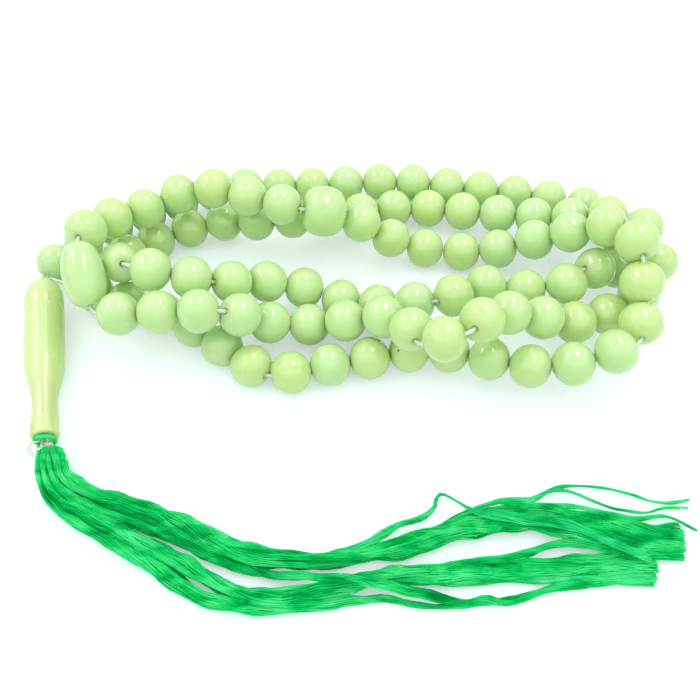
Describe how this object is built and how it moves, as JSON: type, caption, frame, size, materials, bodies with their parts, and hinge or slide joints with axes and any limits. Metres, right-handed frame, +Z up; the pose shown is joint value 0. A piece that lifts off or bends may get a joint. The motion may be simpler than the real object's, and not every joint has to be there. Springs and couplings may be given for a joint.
{
  "type": "misbaha prayer beads",
  "caption": "Loosely heaped loop of round milky green prayer beads on a nylon thread, with dividers, a marker, a long leader bead and a green yarn tassel.",
  "frame": {"origin": "middle of the bounding box's underside, on the table that the beads lie on", "axes": "+X along the heap's and the tassel's length, towards the tassel's cut ends; +Y from the tassel to the heap's far side; +Z up"},
  "size_m": [0.1264, 0.1004, 0.0234],
  "materials": {
    "bead_plastic": "moulded, milky, smooth and softly glossy",
    "nylon": "clear drawn nylon monofilament",
    "yarn": "bright untwisted rayon yarn"
  },
  "bodies": {
    "thread": {"thread": "nylon", "tassel_collar": "yarn", "tie_knot": "nylon"},
    "first_beads_01": {"first_beads_01": "bead_plastic"},
    "first_beads_02": {"first_beads_02": "bead_plastic"},
    "first_beads_03": {"first_beads_03": "bead_plastic"},
    "first_beads_04": {"first_beads_04": "bead_plastic"},
    "first_beads_05": {"first_beads_05": "bead_plastic"},
    "first_beads_06": {"first_beads_06": "bead_plastic"},
    "first_beads_07": {"first_beads_07": "bead_plastic"},
    "first_beads_08": {"first_beads_08": "bead_plastic"},
    "first_beads_09": {"first_beads_09": "bead_plastic"},
    "first_beads_10": {"first_beads_10": "bead_plastic"},
    "first_beads_11": {"first_beads_11": "bead_plastic"},
    "first_beads_12": {"first_beads_12": "bead_plastic"},
    "first_beads_13": {"first_beads_13": "bead_plastic"},
    "first_beads_14": {"first_beads_14": "bead_plastic"},
    "first_beads_15": {"first_beads_15": "bead_plastic"},
    "last_beads_01": {"last_beads_01": "bead_plastic"},
    "last_beads_02": {"last_beads_02": "bead_plastic"},
    "last_beads_03": {"last_beads_03": "bead_plastic"},
    "last_beads_04": {"last_beads_04": "bead_plastic"},
    "last_beads_05": {"last_beads_05": "bead_plastic"},
    "last_beads_06": {"last_beads_06": "bead_plastic"},
    "last_beads_07": {"last_beads_07": "bead_plastic"},
    "last_beads_08": {"last_beads_08": "bead_plastic"},
    "last_beads_09": {"last_beads_09": "bead_plastic"},
    "last_beads_10": {"last_beads_10": "bead_plastic"},
    "last_beads_11": {"last_beads_11": "bead_plastic"},
    "last_beads_12": {"last_beads_12": "bead_plastic"},
    "last_beads_13": {"last_beads_13": "bead_plastic"},
    "last_beads_14": {"last_beads_14": "bead_plastic"},
    "last_beads_15": {"last_beads_15": "bead_plastic"},
    "last_beads_16": {"last_beads_16": "bead_plastic"},
    "last_beads_17": {"last_beads_17": "bead_plastic"},
    "second_beads_01": {"second_beads_01": "bead_plastic"},
    "second_beads_02": {"second_beads_02": "bead_plastic"},
    "second_beads_03": {"second_beads_03": "bead_plastic"},
    "second_beads_04": {"second_beads_04": "bead_plastic"},
    "second_beads_05": {"second_beads_05": "bead_plastic"},
    "second_beads_06": {"second_beads_06": "bead_plastic"},
    "second_beads_07": {"second_beads_07": "bead_plastic"},
    "second_beads_08": {"second_beads_08": "bead_plastic"},
    "second_beads_09": {"second_beads_09": "bead_plastic"},
    "second_beads_10": {"second_beads_10": "bead_plastic"},
    "second_beads_11": {"second_beads_11": "bead_plastic"},
    "second_beads_12": {"second_beads_12": "bead_plastic"},
    "second_beads_13": {"second_beads_13": "bead_plastic"},
    "second_beads_14": {"second_beads_14": "bead_plastic"},
    "second_beads_15": {"second_beads_15": "bead_plastic"},
    "second_beads_16": {"second_beads_16": "bead_plastic"},
    "divider_first": {"divider_first": "bead_plastic"},
    "divider_second": {"divider_second": "bead_plastic"},
    "seventh_marker": {"seventh_marker": "bead_plastic"},
    "leader": {"leader": "bead_plastic"},
    "tassel": {"tassel_hank": "yarn"},
    "tassel_lock_upper": {"tassel_lock_upper": "yarn"},
    "tassel_lock_middle": {"tassel_lock_middle": "yarn"},
    "tassel_lock_lower": {"tassel_lock_lower": "yarn"}
  },
  "joints": [
    {"name": "first_beads_01_spin", "type": "hinge", "parent": "thread", "child": "first_beads_01", "pos_m": [-0.05704, 0.02478, 0.00462], "axis": [0.5383, 0.8393, -0.0759], "continuous": true},
    {"name": "first_beads_02_spin", "type": "hinge", "parent": "thread", "child": "first_beads_02", "pos_m": [-0.03972, 0.03843, 0.00411], "axis": [0.8765, 0.4814, 0.0045], "continuous": true},
    {"name": "first_beads_03_spin", "type": "hinge", "parent": "thread", "child": "first_beads_03", "pos_m": [-0.01887, 0.04556, 0.00414], "axis": [0.9998, -0.0181, -0.0056], "continuous": true},
    {"name": "first_beads_04_spin", "type": "hinge", "parent": "thread", "child": "first_beads_04", "pos_m": [-0.0004, 0.04602, 0.00449], "axis": [0.9979, 0.0539, 0.0356], "continuous": true},
    {"name": "first_beads_05_spin", "type": "hinge", "parent": "thread", "child": "first_beads_05", "pos_m": [0.02551, 0.04471, 0.00447], "axis": [0.9914, -0.1281, -0.0284], "continuous": true},
    {"name": "first_beads_06_spin", "type": "hinge", "parent": "thread", "child": "first_beads_06", "pos_m": [0.04734, 0.04045, 0.00421], "axis": [0.9485, -0.3158, 0.0228], "continuous": true},
    {"name": "first_beads_07_spin", "type": "hinge", "parent": "thread", "child": "first_beads_07", "pos_m": [0.05637, 0.02968, 0.00413], "axis": [0.1446, -0.9889, -0.0333], "continuous": true},
    {"name": "first_beads_08_spin", "type": "hinge", "parent": "thread", "child": "first_beads_08", "pos_m": [0.05094, 0.01755, 0.00778], "axis": [-0.7785, -0.4271, 0.4598], "continuous": true},
    {"name": "first_beads_09_spin", "type": "hinge", "parent": "thread", "child": "first_beads_09", "pos_m": [0.04176, 0.01179, 0.00979], "axis": [-0.7243, -0.5699, -0.3881], "continuous": true},
    {"name": "first_beads_10_spin", "type": "hinge", "parent": "thread", "child": "first_beads_10", "pos_m": [0.03423, 0.01195, 0.00774], "axis": [-0.7977, 0.6024, -0.0269], "continuous": true},
    {"name": "first_beads_11_spin", "type": "hinge", "parent": "thread", "child": "first_beads_11", "pos_m": [0.02329, 0.01081, 0.00881], "axis": [-0.8711, -0.4699, 0.143], "continuous": true},
    {"name": "first_beads_12_spin", "type": "hinge", "parent": "thread", "child": "first_beads_12", "pos_m": [0.00926, 0.00901, 0.00704], "axis": [-0.8985, 0.2425, -0.3659], "continuous": true},
    {"name": "first_beads_13_spin", "type": "hinge", "parent": "thread", "child": "first_beads_13", "pos_m": [-0.0049, 0.01278, 0.00566], "axis": [-0.9502, 0.25, 0.186], "continuous": true},
    {"name": "first_beads_14_spin", "type": "hinge", "parent": "thread", "child": "first_beads_14", "pos_m": [-0.01861, 0.01168, 0.01038], "axis": [-0.8175, -0.392, 0.422], "continuous": true},
    {"name": "first_beads_15_spin", "type": "hinge", "parent": "thread", "child": "first_beads_15", "pos_m": [-0.03232, 0.00929, 0.01522], "axis": [-0.9743, 0.079, 0.211], "continuous": true},
    {"name": "last_beads_01_spin", "type": "hinge", "parent": "thread", "child": "last_beads_01", "pos_m": [-0.04931, 0.01856, 0.01715], "axis": [0.1277, 0.9095, -0.3955], "continuous": true},
    {"name": "last_beads_02_spin", "type": "hinge", "parent": "thread", "child": "last_beads_02", "pos_m": [-0.04345, 0.02727, 0.01334], "axis": [0.6938, 0.6595, -0.2893], "continuous": true},
    {"name": "last_beads_03_spin", "type": "hinge", "parent": "thread", "child": "last_beads_03", "pos_m": [-0.03432, 0.03343, 0.01292], "axis": [0.8671, 0.2236, 0.4452], "continuous": true},
    {"name": "last_beads_04_spin", "type": "hinge", "parent": "thread", "child": "last_beads_04", "pos_m": [-0.01998, 0.03052, 0.01482], "axis": [0.9433, -0.3319, 0.0086], "continuous": true},
    {"name": "last_beads_05_spin", "type": "hinge", "parent": "thread", "child": "last_beads_05", "pos_m": [0.0058, 0.02754, 0.00837], "axis": [0.8224, -0.0298, -0.5682], "continuous": true},
    {"name": "last_beads_06_spin", "type": "hinge", "parent": "thread", "child": "last_beads_06", "pos_m": [0.01975, 0.02626, 0.004], "axis": [0.9906, -0.1365, 0.0006], "continuous": true},
    {"name": "last_beads_07_spin", "type": "hinge", "parent": "thread", "child": "last_beads_07", "pos_m": [0.03408, 0.0246, 0.00731], "axis": [0.8966, -0.0824, 0.4351], "continuous": true},
    {"name": "last_beads_08_spin", "type": "hinge", "parent": "thread", "child": "last_beads_08", "pos_m": [0.04624, 0.02109, 0.01502], "axis": [0.7144, -0.3823, 0.5861], "continuous": true},
    {"name": "last_beads_09_spin", "type": "hinge", "parent": "thread", "child": "last_beads_09", "pos_m": [0.05267, 0.01335, 0.01961], "axis": [0.1062, -0.9923, -0.0633], "continuous": true},
    {"name": "last_beads_10_spin", "type": "hinge", "parent": "thread", "child": "last_beads_10", "pos_m": [0.05328, 0.00682, 0.01581], "axis": [0.0365, -0.5497, -0.8346], "continuous": true},
    {"name": "last_beads_11_spin", "type": "hinge", "parent": "thread", "child": "last_beads_11", "pos_m": [0.05265, 0.00012, 0.01217], "axis": [-0.1795, -0.9838, 0.0032], "continuous": true},
    {"name": "last_beads_12_spin", "type": "hinge", "parent": "thread", "child": "last_beads_12", "pos_m": [0.04371, -0.00593, 0.00995], "axis": [-0.9514, -0.1598, -0.2633], "continuous": true},
    {"name": "last_beads_13_spin", "type": "hinge", "parent": "thread", "child": "last_beads_13", "pos_m": [0.02586, -0.00342, 0.00627], "axis": [-0.9329, 0.3283, -0.1477], "continuous": true},
    {"name": "last_beads_14_spin", "type": "hinge", "parent": "thread", "child": "last_beads_14", "pos_m": [0.00409, -0.00178, 0.00423], "axis": [-0.9824, -0.1839, -0.0312], "continuous": true},
    {"name": "last_beads_15_spin", "type": "hinge", "parent": "thread", "child": "last_beads_15", "pos_m": [-0.01037, -0.00489, 0.00402], "axis": [-0.9566, -0.289, 0.0374], "continuous": true},
    {"name": "last_beads_16_spin", "type": "hinge", "parent": "thread", "child": "last_beads_16", "pos_m": [-0.02367, 0.0012, 0.00407], "axis": [-0.7812, 0.6242, -0.0095], "continuous": true},
    {"name": "last_beads_17_spin", "type": "hinge", "parent": "thread", "child": "last_beads_17", "pos_m": [-0.04312, 0.01182, 0.00442], "axis": [-0.9469, 0.3189, 0.0407], "continuous": true},
    {"name": "second_beads_01_spin", "type": "hinge", "parent": "thread", "child": "second_beads_01", "pos_m": [-0.04463, 0.02314, 0.00595], "axis": [0.2324, 0.8651, -0.4445], "continuous": true},
    {"name": "second_beads_02_spin", "type": "hinge", "parent": "thread", "child": "second_beads_02", "pos_m": [-0.03678, 0.03063, 0.00403], "axis": [0.8711, 0.491, -0.0079], "continuous": true},
    {"name": "second_beads_03_spin", "type": "hinge", "parent": "thread", "child": "second_beads_03", "pos_m": [-0.02261, 0.03272, 0.0058], "axis": [0.946, -0.2226, 0.2355], "continuous": true},
    {"name": "second_beads_04_spin", "type": "hinge", "parent": "thread", "child": "second_beads_04", "pos_m": [-0.00087, 0.03512, 0.00575], "axis": [0.9546, 0.2713, -0.123], "continuous": true},
    {"name": "second_beads_05_spin", "type": "hinge", "parent": "thread", "child": "second_beads_05", "pos_m": [0.02804, 0.03527, 0.00594], "axis": [0.9557, -0.2611, 0.1355], "continuous": true},
    {"name": "second_beads_06_spin", "type": "hinge", "parent": "thread", "child": "second_beads_06", "pos_m": [0.04873, 0.02881, 0.01093], "axis": [0.8531, -0.3403, 0.3956], "continuous": true},
    {"name": "second_beads_07_spin", "type": "hinge", "parent": "thread", "child": "second_beads_07", "pos_m": [0.05754, 0.02273, 0.01381], "axis": [0.5318, -0.8453, -0.0506], "continuous": true},
    {"name": "second_beads_08_spin", "type": "hinge", "parent": "thread", "child": "second_beads_08", "pos_m": [0.05934, 0.01584, 0.01137], "axis": [-0.0922, -0.8333, -0.545], "continuous": true},
    {"name": "second_beads_09_spin", "type": "hinge", "parent": "thread", "child": "second_beads_09", "pos_m": [0.05225, 0.0081, 0.00794], "axis": [-0.8393, -0.5256, -0.1388], "continuous": true},
    {"name": "second_beads_10_spin", "type": "hinge", "parent": "thread", "child": "second_beads_10", "pos_m": [0.03549, 0.002, 0.01147], "axis": [-0.898, -0.1791, 0.402], "continuous": true},
    {"name": "second_beads_11_spin", "type": "hinge", "parent": "thread", "child": "second_beads_11", "pos_m": [0.02319, -0.00339, 0.01743], "axis": [-0.4797, -0.8145, 0.3262], "continuous": true},
    {"name": "second_beads_12_spin", "type": "hinge", "parent": "thread", "child": "second_beads_12", "pos_m": [0.01643, -0.00725, 0.017], "axis": [-0.9091, 0.0213, -0.416], "continuous": true},
    {"name": "second_beads_13_spin", "type": "hinge", "parent": "thread", "child": "second_beads_13", "pos_m": [0.01125, -0.00245, 0.01369], "axis": [-0.1443, 0.9553, -0.2579], "continuous": true},
    {"name": "second_beads_14_spin", "type": "hinge", "parent": "thread", "child": "second_beads_14", "pos_m": [-0.00038, 0.00417, 0.00795], "axis": [-0.9084, 0.1822, -0.3762], "continuous": true},
    {"name": "second_beads_15_spin", "type": "hinge", "parent": "thread", "child": "second_beads_15", "pos_m": [-0.01708, 0.00348, 0.00938], "axis": [-0.6255, -0.34, 0.7023], "continuous": true},
    {"name": "second_beads_16_spin", "type": "hinge", "parent": "thread", "child": "second_beads_16", "pos_m": [-0.03391, 0.0014, 0.01365], "axis": [-0.9909, 0.0581, -0.121], "continuous": true},
    {"name": "divider_first_spin", "type": "hinge", "parent": "thread", "child": "divider_first", "pos_m": [-0.04333, 0.01518, 0.01205], "axis": [-0.3348, 0.6795, -0.6528], "continuous": true},
    {"name": "divider_second_spin", "type": "hinge", "parent": "thread", "child": "divider_second", "pos_m": [-0.04811, 0.00866, 0.01565], "axis": [-0.2499, 0.8537, 0.4569], "continuous": true},
    {"name": "seventh_marker_spin", "type": "hinge", "parent": "thread", "child": "seventh_marker", "pos_m": [-0.00477, 0.02727, 0.01377], "axis": [0.9632, 0.1098, -0.2454], "continuous": true},
    {"name": "leader_spin", "type": "hinge", "parent": "thread", "child": "leader", "pos_m": [-0.06024, 0.01578, 0.00503], "axis": [0.2074, -0.9756, -0.0723], "continuous": true},
    {"name": "tassel_swing", "type": "hinge", "parent": "thread", "child": "tassel", "pos_m": [-0.05249, -0.02065, 0.00233], "axis": [0, 0, 1], "range_deg": [-8, 8]},
    {"name": "lock_upper_lift", "type": "hinge", "parent": "tassel", "child": "tassel_lock_upper", "pos_m": [-0.00927, -0.03975, 0.0036], "axis": [0, -1, 0], "range_deg": [0, 20]},
    {"name": "lock_middle_lift", "type": "hinge", "parent": "tassel", "child": "tassel_lock_middle", "pos_m": [-0.00927, -0.04338, 0.0036], "axis": [0, -1, 0], "range_deg": [0, 20]},
    {"name": "lock_lower_lift", "type": "hinge", "parent": "tassel", "child": "tassel_lock_lower", "pos_m": [-0.00927, -0.04701, 0.0036], "axis": [0, -1, 0], "range_deg": [0, 20]}
  ]
}
